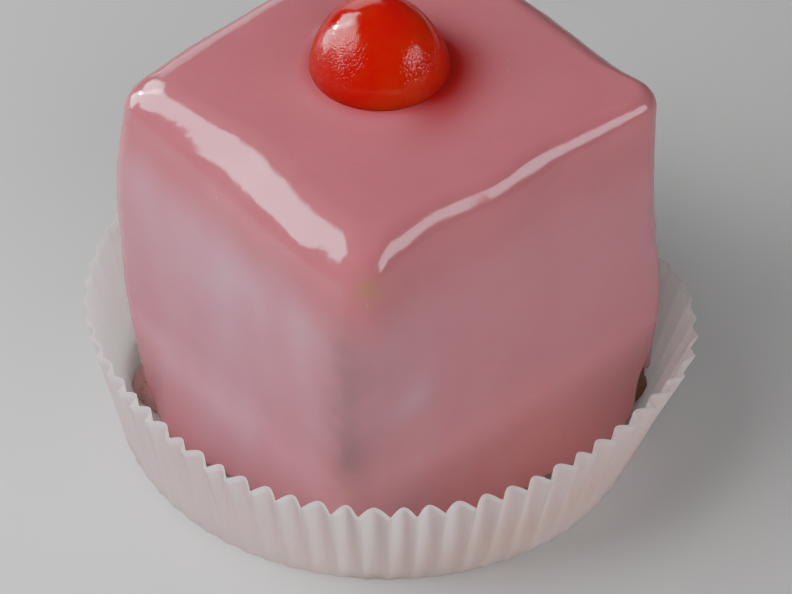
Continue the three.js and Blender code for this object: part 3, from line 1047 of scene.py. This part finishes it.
# %% Cherry
def cherry_finish():
    material, tree, shader = new_finish("candied_cherry")
    flesh = place_group(tree, clouds, **{"Patches per metre": 160.0, "Least": 0.35, "Most": 0.75})
    relief = place_group(tree, grain, **{"Grains per metre": 1000.0})
    red = tint(tree, flesh.outputs["Mask"], (0.960, 0.014, 0.001), (0.980, 0.050, 0.002))
    tree.links.new(red, shader.inputs["Base Color"])
    tree.links.new(vary(tree, flesh.outputs["Mask"], 0.01, 0.03), shader.inputs["Roughness"])
    where = add_node(tree, "ShaderNodeTexCoord")
    creases = add_node(tree, "ShaderNodeTexVoronoi", feature="DISTANCE_TO_EDGE")
    creases.inputs["Scale"].default_value = 2000.0
    tree.links.new(where.outputs["Object"], creases.inputs["Vector"])
    flats = add_node(tree, "ShaderNodeMapRange", interpolation_type="SMOOTHSTEP")
    flats.inputs["From Max"].default_value = 0.18
    tree.links.new(creases.outputs["Distance"], flats.inputs["Value"])
    skin = add_node(tree, "ShaderNodeMath", operation="MULTIPLY_ADD")
    skin.inputs[1].default_value = 0.4
    tree.links.new(relief.outputs["Height"], skin.inputs[0])
    tree.links.new(flats.outputs["Result"], skin.inputs[2])
    crinkled = add_node(tree, "ShaderNodeMath", operation="MULTIPLY")
    tree.links.new(skin.outputs[0], crinkled.inputs[0])
    tree.links.new(painted(tree, "crinkled"), crinkled.inputs[1])
    bump(tree, shader, crinkled.outputs[0], 0.05 * MM)
    shader.inputs["Subsurface Weight"].default_value = 1.0
    shader.inputs["Subsurface Radius"].default_value = (6.0, 0.9, 0.25)
    shader.inputs["Subsurface Scale"].default_value = 1.0 * MM
    shader.inputs["Transmission Weight"].default_value = 0.35
    shader.inputs["IOR"].default_value = 1.45
    return material


cherry.data.materials.append(cherry_finish())
print("cherry finish placed")

# %% [markdown]
# ## Paper finish
# Greaseproof paper is thin enough for light to shine through, and where it touched the cake it has
# taken up a little fat and turned darker and browner. Scattering would make it look like wax, so a
# second shader passes light on to the sheet's other side, and cloudy patches near the foot make the
# grease.

# %% Paper
def paper_finish():
    material, tree, shader = new_finish("greaseproof_paper")
    grease = place_group(tree, clouds, **{"Patches per metre": 70.0, "Least": 0.30, "Most": 0.65})
    fibres = place_group(tree, grain, **{"Grains per metre": 2500.0})
    low_down = add_node(tree, "ShaderNodeMath", operation="MULTIPLY")
    tree.links.new(grease.outputs["Mask"], low_down.inputs[0])
    tree.links.new(painted(tree, "greasy"), low_down.inputs[1])
    colour = tint(tree, low_down.outputs[0], (0.985, 0.978, 0.974), (0.910, 0.820, 0.710))
    tree.links.new(colour, shader.inputs["Base Color"])
    tree.links.new(vary(tree, grease.outputs["Mask"], 0.75, 0.5), shader.inputs["Roughness"])
    bump(tree, shader, fibres.outputs["Height"], 0.03 * MM)
    shader.inputs["Specular IOR Level"].default_value = 0.25
    passed = add_node(tree, "ShaderNodeBsdfTranslucent")
    passed.inputs["Color"].default_value = (0.985, 0.976, 0.970, 1.0)
    sheet = add_node(tree, "ShaderNodeMixShader")
    sheet.inputs["Fac"].default_value = 0.68
    tree.links.new(shader.outputs["BSDF"], sheet.inputs[1])
    tree.links.new(passed.outputs["BSDF"], sheet.inputs[2])
    tree.links.new(sheet.outputs["Shader"], tree.nodes["Material Output"].inputs["Surface"])
    return material


paper.data.materials.append(paper_finish())
print("paper finish placed")

# %% [markdown]
# ## Sponge finish
# Punch-soaked sponge is reddish brown, damp and full of holes. Over the crumb that is already in the
# mesh, a fine relief and dark specks for the holes are enough, because only a few square millimetres
# show. At the right tear it is painted darker, as painted shade in the deep gap there.

# %% Sponge
def sponge_finish():
    material, tree, shader = new_finish("soaked_sponge")
    tone = place_group(tree, clouds, **{"Patches per metre": 500.0, "Least": 0.3, "Most": 0.7})
    holes = place_group(tree, specks, **{"Specks per metre": 1500.0, "Radius": 0.24, "Share": 0.2})
    relief = place_group(tree, grain, **{"Grains per metre": 1200.0})
    crumb_colour = tint(tree, tone.outputs["Mask"], (0.350, 0.155, 0.145), (0.460, 0.235, 0.230))
    # Painted shade at the right tear.
    with_painted_shade = tint(tree, painted(tree, "right_tear_shade"), crumb_colour, (0.230, 0.090, 0.045))
    with_holes = tint(tree, holes.outputs["Mask"], with_painted_shade, (0.200, 0.070, 0.050))
    tree.links.new(with_holes, shader.inputs["Base Color"])
    tree.links.new(vary(tree, tone.outputs["Mask"], 0.5, 0.8), shader.inputs["Roughness"])
    bump(tree, shader, relief.outputs["Height"], 0.2 * MM)
    shader.inputs["Subsurface Weight"].default_value = 0.3
    shader.inputs["Subsurface Radius"].default_value = (1.0, 0.4, 0.2)
    shader.inputs["Subsurface Scale"].default_value = 0.8 * MM
    return material


sponge.data.materials.append(sponge_finish())
print("sponge finish placed")

# %% [markdown]
# ## The floor
# The part is shown on a plain pale table. It is a wide shallow disc of rings, so that every side
# view looks along the same even surface, and it is marked as stage because it isn't part of the cake.

# %% Floor
FLOOR_RADII = (6.0, 1.0, 0.2)
FLOOR_SIDES = 96
FLOOR_Z = -0.05 * MM
FLOOR_DEPTH = 0.05

floor_turn = np.arange(FLOOR_SIDES) / FLOOR_SIDES * 2 * math.pi
floor_rings = [from_axis(floor_turn, radius, FLOOR_Z) for radius in FLOOR_RADII]
floor_mesh = closed_mesh(
    "table",
    np.array(floor_rings),
    AXIS - np.array([0, 0, FLOOR_DEPTH]),
    AXIS + np.array([0, 0, FLOOR_Z]),
)


def table_finish():
    material, tree, shader = new_finish("table")
    tone = place_group(tree, clouds, **{"Patches per metre": 3.0, "Least": 0.2, "Most": 0.8})
    pale = tint(tree, tone.outputs["Mask"], (0.670, 0.674, 0.672), (0.685, 0.689, 0.687))
    tree.links.new(pale, shader.inputs["Base Color"])
    tree.links.new(vary(tree, tone.outputs["Mask"], 0.55, 0.65), shader.inputs["Roughness"])
    shader.inputs["Specular IOR Level"].default_value = 0.15
    return material


table = add_object("table", floor_mesh)
floor_mesh.materials.append(table_finish())
table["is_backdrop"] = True

# %% Compare the boxes and finish
visual_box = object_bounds()
print("solid box and dressed box in mm:")
for corner in (*cad_box, *visual_box):
    print([round(value / MM, 2) for value in corner])
